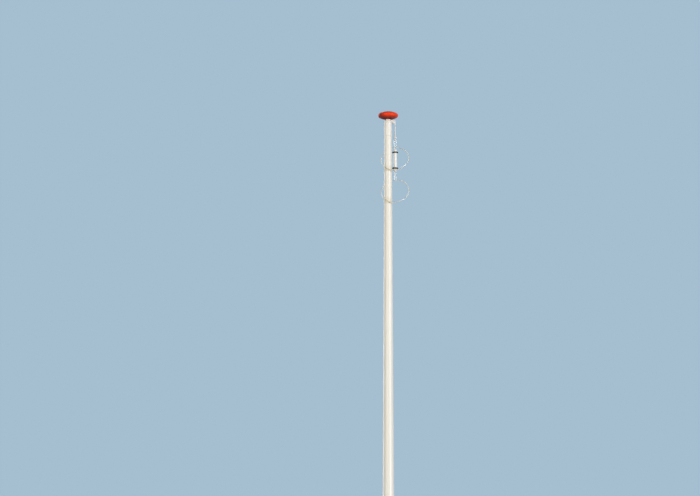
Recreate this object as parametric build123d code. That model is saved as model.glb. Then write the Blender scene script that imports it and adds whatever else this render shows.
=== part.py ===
from build123d import *
from build123d.topology import SkipClean
import math
import os

# A 10 m tapered fibreglass flagpole with a turning head. Its halyard runs inside the pole and comes
# out over a sheave at the head, where it carries a counterweight and two rings round the pole.
# Millimetres. +Z is up and the origin is the middle of the foot flange's underside.
# The head's arm points along +X.

# Foot flange
flange_thickness = 12.0
flange_corner = 20.0
anchor_spacing = 240.0
anchor_hole = 18.0
anchor_edge = 30.0

# Shaft
shaft_top = 10000.0
shaft_foot_diameter = 162.0
shaft_top_diameter = 60.0
shaft_wall = 5.0

# Stub tube that the pole stands over, and the collar round the foot
stub_height = 600.0
stub_wall = 4.0
stub_fit = 0.4
collar_height = 34.0
collar_wall = 8.0
collar_fit = 0.3
collar_edge = 3.0

# Hatch in the pole's front
hatch_height = 1250.0
hatch_length = 300.0
hatch_width = 84.0
hatch_edge_gap = 0.8
hatch_frame_overlap = 11.0
hatch_frame_wall = 3.0
hatch_frame_fit = 0.3
hatch_lock_diameter = 20.0
hatch_lock_depth = 16.0
hatch_lock_proud = 1.5
hatch_lock_rise = 95.0
hatch_lock_fit = 0.2
hatch_key_radius = 5.0
hatch_key_depth = 3.0

# Sleeve round the pole's top
sleeve_length = 114.0
sleeve_wall = 1.2
sleeve_fit = 0.1

# Bearing bush in the pole's top, and the stem that turns in it
bush_depth = 80.0
bush_fit = 0.1
bush_flange_thickness = 1.5
bush_flange_inset = 1.0
stem_diameter = 30.0
stem_bore = 16.0
stem_depth = 78.0
stem_flange_diameter = 44.0
stem_flange_thickness = 3.0
running_fit = 0.05
thrust_gap = 0.1

# Cap of the head
cap_height = 24.0
lip_height = 6.0
lip_overhang = 2.2
neck_diameter = 40.0
neck_height = 4.0
neck_fillet = 8.0
passage_play = 1.5

# Finial
finial_diameter = 164.0
finial_height = 67.0
finial_side_radius = 19.0
stud_diameter = 12.0
stud_in_cap = 8.0
stud_in_finial = 20.0
stud_fit = 0.05

# Sheave, its axle and the arm
rope_diameter = 8.0
rope_reach = 75.0
groove_diameter = 22.0
groove_gap = 0.3
sheave_diameter = 31.0
sheave_rim = 0.7
sheave_recess_width = 4.0
sheave_recess_depth = 1.0
sheave_rise = 9.5
axle_diameter = 6.0
axle_head_diameter = 10.0
axle_head_thickness = 2.0
axle_fit = 0.05
cheek_thickness = 3.0
cheek_gap = 0.5
cheek_round = 24.0
cheek_root_top = 18.0
cheek_root_bottom = 1.5
web_thickness = 4.0
web_gap = 3.5
web_overlap = 1.5
arm_fit = 0.1

# Halyard from inside the stem to the knot
rope_start_drop = 33.0
rope_corner_drop = 1.0
rope_inner_radius = 12.0
rope_wrap_slack = 0.04
knot_length = 25.0
knot_diameter = 22.0
knot_round = 5.0
loop_rope_diameter = 7.2
loop_gap = 0.3
loop_in_knot = 1.8

# Snap hooks
hook_rod = 4.6
hook_width = 23.0
hook_length = 52.0
gate_pivot_inset = 4.5
nose_length = 6.2
gate_rod = 4.4
gate_pin = 2.0
tongue_thickness = 1.8
tongue_root = 1.0
fork_gap = 0.1
fork_cheek = 1.2
fork_length = 3.4
gate_end_gap = 0.3
knuckle_gap = 0.2
pin_fit = 0.05

# Counterweight
eye_diameter = 35.0
eye_wire = 7.0
top_eye_drop = 201.0
weight_diameter = 31.0
weight_length = 188.0
weight_end = 20.0
weight_nose_diameter = 14.0
weight_nose_fillet = 3.0
eye_shank = 8.0
eye_shank_length = 14.0
shank_fit = 0.05
buffer_diameter = 48.0
buffer_thickness = 10.0
buffer_round = 3.5
buffer_inset = 29.0
buffer_fit = 0.1
eye_to_nose = 0.5

# Rings round the pole
ring_diameter = 224.0
ring_rod = 4.8
ring_heading = -48.5
ring_hang_turn = -3.0
ring_seat = 0.3
ring_joint_gap = 1.0
ferrule_length = 40.0
ferrule_diameter = 8.0
ferrule_fit = 0.05
upper_ferrule_turn = -39.0
lower_ferrule_turn = -56.0

# How the hanging pieces seat in each other
eye_seat = 0.6
lower_seat = 0.9
bottom_eye_heading = -28.5
lower_hook_heading = 0.0

# Sizes that follow from the driving ones
flange_side = anchor_spacing + 2 * anchor_edge
shaft_foot = flange_thickness
taper = (shaft_foot_diameter - shaft_top_diameter) / 2 / (shaft_top - shaft_foot)
cap_base = shaft_top + bush_flange_thickness + thrust_gap
neck_top = cap_base + cap_height
cone_foot_radius = shaft_top_diameter / 2 + sleeve_fit + sleeve_wall
lip_radius = cone_foot_radius + lip_overhang
finial_wide = finial_diameter / 2
finial_high = finial_height / 2
finial_crown = (finial_wide ** 2 - 2 * finial_wide * finial_side_radius + finial_high ** 2) \
    / (finial_height - 2 * finial_side_radius)
finial_cut = finial_high - finial_crown + math.sqrt(finial_crown ** 2 - (neck_diameter / 2) ** 2)
finial_middle = neck_top + finial_cut
wrap_radius = (groove_diameter + rope_diameter) / 2
sheave_width = rope_diameter + 2 * groove_gap + 2 * sheave_rim
sheave_x = rope_reach - wrap_radius
sheave_z = cap_base + sheave_rise
hole_radius = eye_diameter / 2 - eye_wire
eye_radius = (eye_diameter - eye_wire) / 2
hook_bend = (hook_width - hook_rod) / 2
hook_half = (hook_length - hook_rod) / 2
hook_straight = hook_half - hook_bend
gate_pivot_rise = hook_straight - gate_pivot_inset
gate_tip_rise = nose_length - hook_straight + gate_end_gap
top_eye_z = sheave_z - top_eye_drop
swing_z = top_eye_z + hole_radius - eye_seat - hook_rod / 2
upper_hook_z = swing_z + hook_half
loop_radius = (hook_rod + loop_rope_diameter) / 2 + loop_gap
knot_bottom = upper_hook_z + hook_half + loop_radius + loop_rope_diameter / 2 - loop_in_knot
knot_top = knot_bottom + knot_length
upper_ring_z = top_eye_z - hole_radius + eye_seat + ring_rod / 2
weight_top = top_eye_z - eye_diameter / 2 - eye_to_nose
weight_bottom = weight_top - weight_length
bottom_eye_z = weight_bottom - eye_to_nose - eye_diameter / 2
lower_hook_top = bottom_eye_z - hole_radius + lower_seat + hook_rod / 2
lower_hook_z = lower_hook_top - hook_half
lower_ring_z = lower_hook_z - hook_half + hook_rod / 2 + lower_seat + ring_rod / 2


def pole_radius(z):
    """Outer radius of the shaft at a height."""
    return shaft_top_diameter / 2 + taper * (shaft_top - z)


def turned(points):
    """A solid of revolution about the pole's axis, from (radius, height) corners."""
    outline = Plane.XZ * make_face(Polyline(*points, close=True))
    return revolve(outline, Axis.Z, clean=False)


def cone_shell(z_low, z_high, outer_offset, inner_offset):
    """A round shell that follows the pole's taper, between two offsets from its outer face."""
    return turned([
        (pole_radius(z_low) + inner_offset, z_low),
        (pole_radius(z_low) + outer_offset, z_low),
        (pole_radius(z_high) + outer_offset, z_high),
        (pole_radius(z_high) + inner_offset, z_high),
    ])


def hatch_prism(grow):
    """The hatch's rounded outline, grown or shrunk by a margin, as a prism through the pole's front."""
    face = Plane((0, 0, hatch_height), x_dir=(0, 0, 1), z_dir=(0, -1, 0))
    outline = face * SlotOverall(hatch_length + 2 * grow, hatch_width + 2 * grow)
    return extrude(outline, shaft_foot_diameter)


def pin(radius, start, end):
    """A round pin between two points."""
    along = Vector(*end) - Vector(*start)
    return extrude(Plane(start, z_dir=along) * Circle(radius), along.length)


# Foot

def make_base_plate():
    plate = Pos(0, 0, flange_thickness / 2) * Box(flange_side, flange_side, flange_thickness)
    plate = fillet(plate.edges().filter_by(Axis.Z), flange_corner)
    for sx in (-1, 1):
        for sy in (-1, 1):
            hole = Cylinder(anchor_hole / 2, 3 * flange_thickness)
            plate -= Pos(sx * anchor_spacing / 2, sy * anchor_spacing / 2, 0) * hole
    return plate


def make_stub_tube():
    outer = -shaft_wall - stub_fit
    return cone_shell(flange_thickness, flange_thickness + stub_height, outer, outer - stub_wall)


def make_foot_collar():
    low = flange_thickness
    high = low + collar_height
    inner_low = pole_radius(low) + collar_fit
    outer = inner_low + collar_wall
    return turned([
        (inner_low, low),
        (outer, low),
        (outer, high - collar_edge),
        (outer - collar_edge, high),
        (pole_radius(high) + collar_fit, high),
    ])


# Shaft and hatch

def make_pole_shaft():
    """One tapered tube. Its faces are divided above and below the hatch, so only that stretch is cut."""
    heights = [shaft_foot, hatch_height - hatch_length, hatch_height + hatch_length, shaft_top]
    outer = [(pole_radius(z), z) for z in heights]
    inner = [(radius - shaft_wall, z) for radius, z in reversed(outer)]
    with SkipClean():
        return turned(outer + inner) - hatch_prism(0)


def make_hatch_door():
    margin = hatch_length
    shell = cone_shell(hatch_height - margin, hatch_height + margin, 0, -shaft_wall)
    door = shell & hatch_prism(-hatch_edge_gap)
    bore = hatch_lock_diameter / 2 + hatch_lock_fit
    lock_z = hatch_height + hatch_lock_rise
    return door - pin(bore, (0, -pole_radius(lock_z) / 2, lock_z), (0, -shaft_foot_diameter, lock_z))


def make_hatch_frame():
    margin = hatch_length
    outer = -shaft_wall - hatch_frame_fit
    shell = cone_shell(hatch_height - margin, hatch_height + margin, outer, outer - hatch_frame_wall)
    return (shell & hatch_prism(hatch_frame_overlap)) - hatch_prism(-hatch_frame_overlap)


def make_hatch_lock():
    lock_z = hatch_height + hatch_lock_rise
    face_y = -pole_radius(lock_z) - hatch_lock_proud
    back_y = face_y + hatch_lock_depth
    barrel = pin(hatch_lock_diameter / 2, (0, back_y, lock_z), (0, face_y, lock_z))
    barrel = chamfer(barrel.edges().group_by(Axis.Y)[0], hatch_lock_proud / 2)
    key = Plane((0, face_y + hatch_key_depth, lock_z), z_dir=(0, -1, 0))
    return barrel - extrude(key * RegularPolygon(hatch_key_radius, 3), hatch_key_depth)


def make_top_sleeve():
    return cone_shell(shaft_top - sleeve_length, shaft_top, sleeve_fit + sleeve_wall, sleeve_fit)


# Turning head

def make_bearing_bush():
    outer = pole_radius(shaft_top) - shaft_wall - bush_fit
    flange = pole_radius(shaft_top) - bush_flange_inset
    bore = stem_diameter / 2 + running_fit
    return turned([
        (bore, shaft_top - bush_depth),
        (outer, shaft_top - bush_depth),
        (outer, shaft_top),
        (flange, shaft_top),
        (flange, shaft_top + bush_flange_thickness),
        (bore, shaft_top + bush_flange_thickness),
    ])


def make_truck_stem():
    return turned([
        (stem_bore / 2, shaft_top - stem_depth),
        (stem_diameter / 2, shaft_top - stem_depth),
        (stem_diameter / 2, cap_base),
        (stem_flange_diameter / 2, cap_base),
        (stem_flange_diameter / 2, cap_base + stem_flange_thickness),
        (stem_bore / 2, cap_base + stem_flange_thickness),
    ])


def rope_rise():
    """Angle of the rope's run from the middle of the cap up to the sheave, above level."""
    corner_z = sheave_z - rope_corner_drop
    to_axle = math.hypot(sheave_x, sheave_z - corner_z)
    return math.atan2(sheave_z - corner_z, sheave_x) + math.asin(wrap_radius / to_axle)


def rope_passage():
    """The smooth way through the cap for the rope, from the stem's bore out towards the sheave."""
    rise = rope_rise()
    corner_z = sheave_z - rope_corner_drop
    route = FilletPolyline(
        (0, 0, cap_base - cap_height),
        (0, 0, corner_z),
        (rope_reach * math.cos(rise), 0, corner_z + rope_reach * math.sin(rise)),
        radius=rope_inner_radius,
    )
    section = Plane((0, 0, cap_base - cap_height)) * Circle(rope_diameter / 2 + passage_play)
    return sweep(section, path=route)


def cap_body(grow):
    """The cap's outer form, grown by a margin, without its bores: a lip, a cone and a neck."""
    lip = lip_radius + grow
    foot = cone_foot_radius + grow
    neck = neck_diameter / 2 + grow
    lip_top = cap_base + lip_height
    neck_foot = neck_top - neck_height
    outline = make_face(Polyline((0, cap_base), (lip, cap_base), (lip, lip_top), (foot, lip_top),
                                 (neck, neck_foot), (neck, neck_top), (0, neck_top), close=True))
    corner = outline.vertices().sort_by_distance((neck, neck_foot))[0]
    return revolve(Plane.XZ * fillet(corner, neck_fillet), Axis.Z)


def make_truck_cap():
    cap = cap_body(0)
    recess = stem_flange_diameter / 2 + stud_fit
    cap -= pin(recess, (0, 0, cap_base), (0, 0, cap_base + stem_flange_thickness))
    cap -= rope_passage()
    cap -= pin(stud_diameter / 2 + stud_fit, (0, 0, neck_top - stud_in_cap), (0, 0, neck_top))
    return cap


def make_outlet_arm():
    low = cap_base + cheek_root_bottom
    high = cap_base + cheek_root_top
    inner = sheave_width / 2 + cheek_gap
    round_end = cheek_round / 2
    root = (neck_diameter / 2 + cone_foot_radius) / 2
    outline = make_hull([
        *(Pos(sheave_x, sheave_z) * Circle(round_end)).edges(),
        *Polyline((root, low), (root, high)).edges(),
    ])
    cheek = extrude(Plane.XZ * outline, cheek_thickness)
    arm = Pos(0, -inner, 0) * cheek + Pos(0, inner + cheek_thickness, 0) * cheek
    web_length = sheave_x - sheave_diameter / 2 - web_gap - root
    web = Box(web_length, 2 * inner + 2 * web_overlap, web_thickness)
    arm += Pos(root + web_length / 2, 0, low + web_thickness / 2) * web
    arm -= cap_body(arm_fit)
    outside = inner + 2 * cheek_thickness
    bore = axle_diameter / 2 + axle_fit
    return arm - pin(bore, (sheave_x, -outside, sheave_z), (sheave_x, outside, sheave_z))


def make_sheave():
    rim = sheave_diameter / 2
    bore = axle_diameter / 2 + running_fit
    half = sheave_width / 2
    wheel = Rectangle(rim - bore, sheave_width)
    wheel = Pos((rim + bore) / 2, 0) * wheel
    wheel -= Pos(wrap_radius, 0) * Circle(rope_diameter / 2 + groove_gap)
    hub = (bore + groove_diameter / 2) / 2
    for side in (-1, 1):
        wheel -= Pos(hub, side * half) * Rectangle(sheave_recess_width, 2 * sheave_recess_depth)
    wheel = revolve(Plane.XY * wheel, Axis.Y)
    return Pos(sheave_x, 0, sheave_z) * wheel


def make_sheave_axle():
    half = sheave_width / 2 + cheek_gap + cheek_thickness
    axle = pin(axle_diameter / 2, (sheave_x, -half, sheave_z), (sheave_x, half, sheave_z))
    for side in (-1, 1):
        start = (sheave_x, side * half, sheave_z)
        end = (sheave_x, side * (half + axle_head_thickness), sheave_z)
        head = pin(axle_head_diameter / 2, start, end)
        axle += chamfer(head.edges().sort_by(Axis.Y)[-1 if side > 0 else 0], axle_head_thickness / 3)
    return axle


def make_finial():
    """A flattened ball of two shallow crowns and a tighter rounded side, all tangent."""
    side_middle = finial_wide - finial_side_radius
    meet = math.degrees(math.atan2(finial_crown - finial_high, side_middle))
    neck = neck_diameter / 2
    neck_turn = math.degrees(math.acos(neck / finial_crown))
    crown = CenterArc((0, finial_high - finial_crown), finial_crown, meet, 90 - meet)
    side = CenterArc((side_middle, 0), finial_side_radius, -meet, 2 * meet)
    under = CenterArc((0, finial_crown - finial_high), finial_crown, -neck_turn, neck_turn - meet)
    bore = stud_diameter / 2 + stud_fit
    bore_top = stud_in_finial - finial_cut
    rest = Polyline((0, finial_high), (0, bore_top), (bore, bore_top), (bore, -finial_cut),
                    (neck, -finial_cut))
    outline = make_face([under, side, crown, *rest.edges()])
    return Pos(0, 0, finial_middle) * revolve(Plane.XZ * outline, Axis.Z)


def make_finial_stud():
    return pin(stud_diameter / 2, (0, 0, neck_top - stud_in_cap), (0, 0, neck_top + stud_in_finial))


# Halyard

def halyard_points():
    """The rope's route, from inside the stem, out of the cap, round the sheave and down to the knot."""
    rise = rope_rise()
    half_turn = (rise + math.pi / 2) / 2
    over = wrap_radius * math.tan(half_turn / 2)
    touch_x = sheave_x - wrap_radius * math.sin(rise)
    touch_z = sheave_z + wrap_radius * math.cos(rise)
    return [
        (0, 0, sheave_z - rope_start_drop),
        (0, 0, sheave_z - rope_corner_drop),
        (touch_x + over * math.cos(rise), 0, touch_z + over * math.sin(rise)),
        (rope_reach, 0, sheave_z + over),
        (rope_reach, 0, knot_top),
    ]


def make_halyard_fall():
    points = halyard_points()
    wrap = wrap_radius - rope_wrap_slack
    radii = [rope_inner_radius, wrap, wrap]
    route = FilletPolyline(*points, radius=radii)
    rope = sweep(Plane(points[0]) * Circle(rope_diameter / 2), path=route)
    print("halyard: length", round(route.length, 1), "radii", radii,
          "volume ratio", round(rope.volume / route.length / (math.pi * rope_diameter ** 2 / 4), 4))
    return rope


def make_halyard_knot():
    wide = knot_diameter / 2
    outline = make_face(Polyline((0, knot_bottom), (wide, knot_bottom), (wide, knot_top), (0, knot_top),
                                 close=True))
    outline = fillet(outline.vertices().group_by(Axis.X)[-1], knot_round)
    knot = revolve(Plane.XZ * outline, Axis.Z)
    across = hook_frame(upper_hook_z, ring_heading)
    loop = Torus(loop_radius, loop_rope_diameter / 2)
    loop = Plane((0, 0, upper_hook_z + hook_half), z_dir=across.x_dir) * loop
    return Pos(rope_reach, 0, 0) * (knot + loop)


# Snap hooks

def hook_frame(z, heading):
    """A hook's own frame: X along its width, Y up, Z through its loop."""
    turn = math.radians(heading)
    across = (math.cos(turn), math.sin(turn), 0)
    through = (math.sin(turn), -math.cos(turn), 0)
    return Plane((0, 0, z), x_dir=across, z_dir=through)


def make_hook_body(z, heading):
    nose = nose_length - hook_straight
    knuckle = gate_pivot_rise + gate_rod / 2 + knuckle_gap
    spine = Line((hook_bend, knuckle), (hook_bend, hook_straight))
    spine += CenterArc((0, hook_straight), hook_bend, 0, 180)
    spine += Line((-hook_bend, hook_straight), (-hook_bend, -hook_straight))
    spine += CenterArc((0, -hook_straight), hook_bend, 180, 180)
    spine += Line((hook_bend, -hook_straight), (hook_bend, nose))
    section = Plane((hook_bend, knuckle, 0), z_dir=(0, 1, 0)) * Circle(hook_rod / 2)
    body = sweep(section, path=spine)
    tongue = Pos(hook_bend, gate_pivot_rise) * Circle(gate_rod / 2 - knuckle_gap)
    reach = knuckle - gate_pivot_rise + tongue_root
    tongue += Pos(hook_bend, gate_pivot_rise + reach / 2) * Rectangle(gate_rod - 2 * knuckle_gap, reach)
    body += extrude(tongue, tongue_thickness / 2, both=True)
    eye = Cylinder(gate_pin / 2 + pin_fit, hook_rod)
    body -= Pos(hook_bend, gate_pivot_rise, 0) * eye
    return Pos(rope_reach, 0, 0) * (hook_frame(z, heading) * body)


def make_hook_gate(z, heading):
    root = gate_pivot_rise - fork_length
    gate = pin(gate_rod / 2, (hook_bend, root, 0), (hook_bend, gate_tip_rise, 0))
    side = Pos(hook_bend, gate_pivot_rise) * Circle(gate_rod / 2)
    side += Pos(hook_bend, (gate_pivot_rise + root) / 2) * Rectangle(gate_rod, fork_length)
    inner = tongue_thickness / 2 + fork_gap
    cheek = extrude(side, fork_cheek)
    gate += Pos(0, 0, inner) * cheek
    gate += Pos(0, 0, -inner - fork_cheek) * cheek
    half = inner + fork_cheek
    gate += pin(gate_pin / 2, (hook_bend, gate_pivot_rise, -half), (hook_bend, gate_pivot_rise, half))
    return Pos(rope_reach, 0, 0) * (hook_frame(z, heading) * gate)


# Counterweight

def make_weight_tube():
    low = weight_bottom + weight_end
    high = weight_top - weight_end
    return pin(weight_diameter / 2, (rope_reach, 0, low), (rope_reach, 0, high))


def make_weight_cap(base, nose):
    """Domed end of the counterweight, from its wide base to its nose, bored for the eye's shank."""
    wide = weight_diameter / 2
    tip = weight_nose_diameter / 2
    way = 1 if nose > base else -1
    shank = eye_shank / 2 + shank_fit
    depth = nose - way * (eye_shank_length + shank_fit)
    dome = TangentArc((wide, base), (tip, nose), tangent=(0, way))
    rest = Polyline((tip, nose), (shank, nose), (shank, depth), (0, depth), (0, base), (wide, base))
    outline = make_face([dome, *rest.edges()])
    corner = outline.vertices().sort_by_distance((tip, nose))[0]
    outline = fillet(corner, weight_nose_fillet)
    return Pos(rope_reach, 0, 0) * revolve(Plane.XZ * outline, Axis.Z)


def make_eye(z, heading, way):
    """Welded eye with its shank. The hole looks along the heading."""
    turn = math.radians(heading)
    upright = Plane((rope_reach, 0, z), z_dir=(math.cos(turn), math.sin(turn), 0))
    eye = upright * Torus(eye_radius, eye_wire / 2)
    start = z + way * eye_radius
    end = z + way * (eye_diameter / 2 + eye_to_nose + eye_shank_length)
    return eye + pin(eye_shank / 2, (rope_reach, 0, start), (rope_reach, 0, end))


def make_buffer(z):
    bore = weight_diameter / 2 + buffer_fit
    outer = buffer_diameter / 2
    band = Pos((outer + bore) / 2, 0) * Rectangle(outer - bore, buffer_thickness)
    band = fillet(band.vertices().group_by(Axis.X)[-1], buffer_round)
    return Pos(rope_reach, 0, z) * revolve(Plane.XZ * band, Axis.Z)


# Rings round the pole

def ring_axes(lean):
    """A leaning ring's two directions in its own plane: level along the heading, and uphill."""
    turn = math.radians(ring_heading)
    tilt = math.radians(lean)
    level = (math.cos(turn), math.sin(turn), 0)
    uphill = (-math.sin(turn) * math.cos(tilt), math.cos(turn) * math.cos(tilt), math.sin(tilt))
    return level, uphill


def ring_spot(hang_z, lean, along, up):
    """A place in a leaning ring's plane, counted from the ring's middle."""
    level, uphill = ring_axes(lean)
    hang = math.radians(ring_hang_turn)
    along -= ring_diameter / 2 * math.sin(hang)
    up -= ring_diameter / 2 * math.cos(hang)
    hung_from = (rope_reach, 0, hang_z)
    return tuple(h + along * a + up * u for h, a, u in zip(hung_from, level, uphill))


def ring_plane(hang_z, lean):
    level, uphill = ring_axes(lean)
    middle = ring_spot(hang_z, lean, 0, 0)
    return Plane(middle, x_dir=level, z_dir=Vector(*level).cross(Vector(*uphill)))


def ring_to_pole(hang_z, lean):
    """Smallest gap between the ring's rod and the pole."""
    gaps = []
    for step in range(720):
        turn = math.radians(step / 2)
        along = ring_diameter / 2 * math.cos(turn)
        up = ring_diameter / 2 * math.sin(turn)
        x, y, z = ring_spot(hang_z, lean, along, up)
        gaps.append(math.hypot(x, y) - pole_radius(z) - ring_rod / 2)
    return min(gaps)


def ring_lean(hang_z):
    """The steepest lean at which the ring's low side still rests against the pole."""
    low = 45.0
    high = 89.0
    for _ in range(40):
        middle = (low + high) / 2
        if ring_to_pole(hang_z, middle) > ring_seat:
            low = middle
        else:
            high = middle
    return low


def make_ring(hang_z, ferrule_turn):
    """The bent rod. Its two ends meet inside the ferrule."""
    radius = ring_diameter / 2
    gap = math.degrees(ring_joint_gap / radius)
    rod = Plane((radius, 0, 0), x_dir=(1, 0, 0), z_dir=(0, 1, 0)) * Circle(ring_rod / 2)
    rod = revolve(rod, Axis.Z, 360 - gap)
    start = ferrule_turn + gap / 2
    return ring_plane(hang_z, ring_lean(hang_z)) * (Rot(0, 0, start) * rod)


def make_ferrule(hang_z, ferrule_turn):
    radius = ring_diameter / 2
    span = math.degrees(ferrule_length / radius)
    section = Circle(ferrule_diameter / 2) - Circle(ring_rod / 2 + ferrule_fit)
    section = Plane((radius, 0, 0), x_dir=(1, 0, 0), z_dir=(0, 1, 0)) * section
    sleeve = revolve(section, Axis.Z, span)
    start = ferrule_turn - span / 2
    return ring_plane(hang_z, ring_lean(hang_z)) * (Rot(0, 0, start) * sleeve)


nodes = {
    "base_plate": make_base_plate(),
    "stub_tube": make_stub_tube(),
    "foot_collar": make_foot_collar(),
    "pole_shaft": make_pole_shaft(),
    "hatch_frame": make_hatch_frame(),
    "hatch_door": make_hatch_door(),
    "hatch_lock": make_hatch_lock(),
    "top_sleeve": make_top_sleeve(),
    "bearing_bush": make_bearing_bush(),
    "truck_stem": make_truck_stem(),
    "truck_cap": make_truck_cap(),
    "outlet_arm": make_outlet_arm(),
    "sheave": make_sheave(),
    "sheave_axle": make_sheave_axle(),
    "finial_stud": make_finial_stud(),
    "finial": make_finial(),
    "halyard_fall": make_halyard_fall(),
    "halyard_knot": make_halyard_knot(),
    "upper_hook_body": make_hook_body(upper_hook_z, ring_heading),
    "upper_hook_gate": make_hook_gate(upper_hook_z, ring_heading),
    "weight_top_eye": make_eye(top_eye_z, ring_heading, -1),
    "weight_top_cap": make_weight_cap(weight_top - weight_end, weight_top),
    "weight_tube": make_weight_tube(),
    "weight_bottom_cap": make_weight_cap(weight_bottom + weight_end, weight_bottom),
    "weight_bottom_eye": make_eye(bottom_eye_z, bottom_eye_heading, 1),
    "upper_buffer": make_buffer(weight_top - buffer_inset),
    "lower_buffer": make_buffer(weight_bottom + buffer_inset),
    "upper_ring": make_ring(upper_ring_z, upper_ferrule_turn),
    "upper_ferrule": make_ferrule(upper_ring_z, upper_ferrule_turn),
    "lower_hook_body": make_hook_body(lower_hook_z, lower_hook_heading),
    "lower_hook_gate": make_hook_gate(lower_hook_z, lower_hook_heading),
    "lower_ring": make_ring(lower_ring_z, lower_ferrule_turn),
    "lower_ferrule": make_ferrule(lower_ring_z, lower_ferrule_turn),
}

os.makedirs("parts", exist_ok=True)
for name, solid in nodes.items():
    export_step(solid, f"parts/{name}.step")

print("finial middle", round(finial_middle, 3), "sheave", round(sheave_x, 3), round(sheave_z, 3))
print("crown radius", round(finial_crown, 2), "knot", round(knot_bottom, 3), round(knot_top, 3))
print("swing axis height", round(swing_z, 3), "lower hook axis height", round(lower_hook_top, 3))
print("hook middles", round(upper_hook_z, 3), round(lower_hook_z, 3))
for name, hang_z in (("upper", upper_ring_z), ("lower", lower_ring_z)):
    print(name, "ring hangs at", round(hang_z, 3), "and leans", round(ring_lean(hang_z), 3))
print("halyard points", [tuple(round(v, 3) for v in point) for point in halyard_points()])
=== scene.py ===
import math

import bpy
import numpy as np
from mathutils import Matrix, Vector


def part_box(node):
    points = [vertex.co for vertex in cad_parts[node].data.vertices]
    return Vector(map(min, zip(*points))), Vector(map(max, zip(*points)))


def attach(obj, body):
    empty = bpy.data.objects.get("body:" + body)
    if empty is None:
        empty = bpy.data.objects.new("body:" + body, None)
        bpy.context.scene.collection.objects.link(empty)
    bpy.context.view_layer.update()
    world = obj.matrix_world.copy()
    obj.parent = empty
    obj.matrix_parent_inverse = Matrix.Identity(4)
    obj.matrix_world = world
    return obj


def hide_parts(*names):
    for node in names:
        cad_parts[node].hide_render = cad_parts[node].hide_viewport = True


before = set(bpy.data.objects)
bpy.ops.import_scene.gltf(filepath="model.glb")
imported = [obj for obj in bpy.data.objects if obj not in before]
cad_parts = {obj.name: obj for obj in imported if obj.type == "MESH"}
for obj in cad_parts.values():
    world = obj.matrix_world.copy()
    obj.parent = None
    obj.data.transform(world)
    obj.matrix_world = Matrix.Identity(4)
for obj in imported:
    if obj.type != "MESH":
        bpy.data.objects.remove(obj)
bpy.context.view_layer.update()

# Foot flange and stub tube
# A square plate cut from 12 mm steel, with the tube that carries the pole welded on it, hot-dip
# galvanised in one go. The zinc has set in crystals, and has dulled under a white bloom in patches.


class Worked:
    """A value that varies over a surface. Adding to it or multiplying it adds a Math node."""

    def __init__(self, nodes, socket):
        self.nodes = nodes
        self.socket = socket

    def reckon(self, operation, first, second):
        return self.nodes.node("ShaderNodeMath", {"operation": operation}, {0: first, 1: second})

    def __add__(self, other):
        return self.reckon("ADD", self, other)

    def __radd__(self, other):
        return self.reckon("ADD", other, self)

    def __sub__(self, other):
        return self.reckon("SUBTRACT", self, other)

    def __rsub__(self, other):
        return self.reckon("SUBTRACT", other, self)

    def __mul__(self, other):
        return self.reckon("MULTIPLY", self, other)

    def __rmul__(self, other):
        return self.reckon("MULTIPLY", other, self)


class Nodes:
    """The nodes of a finish, or of the studio round the pole."""

    def __init__(self, tree):
        self.tree = tree

    def node(self, kind, settings, sockets, output=0):
        """Any node: its type, its settings, and the values or links of its sockets."""
        made = self.tree.nodes.new(kind)
        for setting, value in settings.items():
            setattr(made, setting, value)
        for socket, value in sockets.items():
            if isinstance(value, Worked):
                self.tree.links.new(value.socket, made.inputs[socket])
            else:
                made.inputs[socket].default_value = value
        return Worked(self, made.outputs[output])


class Finish(Nodes):
    """One procedural finish: a shader with its constants, and what varies over the surface."""

    def __init__(self, name, constants):
        self.material = bpy.data.materials.new(name)
        self.material.use_nodes = True
        super().__init__(self.material.node_tree)
        self.shader = self.tree.nodes["Principled BSDF"]
        for socket, value in constants.items():
            self.shader.inputs[socket].default_value = value

    def place(self, stretch=(1, 1, 1)):
        """A point on the piece, in metres, with each axis shortened or lengthened."""
        point = self.node("ShaderNodeTexCoord", {}, {}, "Object")
        return self.node("ShaderNodeMapping", {}, {"Vector": point, "Scale": stretch})

    def height(self):
        """The height over the ground, in metres."""
        return self.node("ShaderNodeSeparateXYZ", {}, {"Vector": self.place()}, "Z")

    def patches(self, size, detail=3, stretch=(1, 1, 1)):
        """Soft random patches about as large as size, in metres, between 0 and 1."""
        sockets = {"Vector": self.place(stretch), "Scale": 1 / size, "Detail": detail}
        return self.node("ShaderNodeTexNoise", {}, sockets)

    def rise(self, value, low, high):
        """0 up to low, 1 from high on, with a smooth rise between them."""
        sockets = {"Value": value, "From Min": low, "From Max": high}
        return self.node("ShaderNodeMapRange", {"interpolation_type": "SMOOTHSTEP"}, sockets)

    def mix(self, share, first, second):
        """Goes from one colour to another by a share."""
        return self.node("ShaderNodeMix", {"data_type": "RGBA"}, {0: share, 6: first, 7: second}, 2)

    def feed(self, socket, value):
        """Lets a value that varies drive a socket of the shader."""
        self.tree.links.new(value.socket, self.shader.inputs[socket])

    def emboss(self, relief, depth):
        """Raises the surface by a relief between 0 and 1, which stands depth metres high at 1."""
        self.feed("Normal", self.node("ShaderNodeBump", {}, {"Height": relief, "Distance": depth}))

    def cover(self, *nodes):
        """Gives this finish to pieces that stay as they are."""
        for name in nodes:
            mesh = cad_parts[name].data
            mesh.materials.clear()
            mesh.materials.append(self.material)


crystal = 0.007
dark_zinc = (0.40, 0.41, 0.42, 1)
light_zinc = (0.53, 0.54, 0.55, 1)
white_bloom = (0.62, 0.62, 0.60, 1)
splashed_mud = (0.23, 0.20, 0.16, 1)

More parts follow.
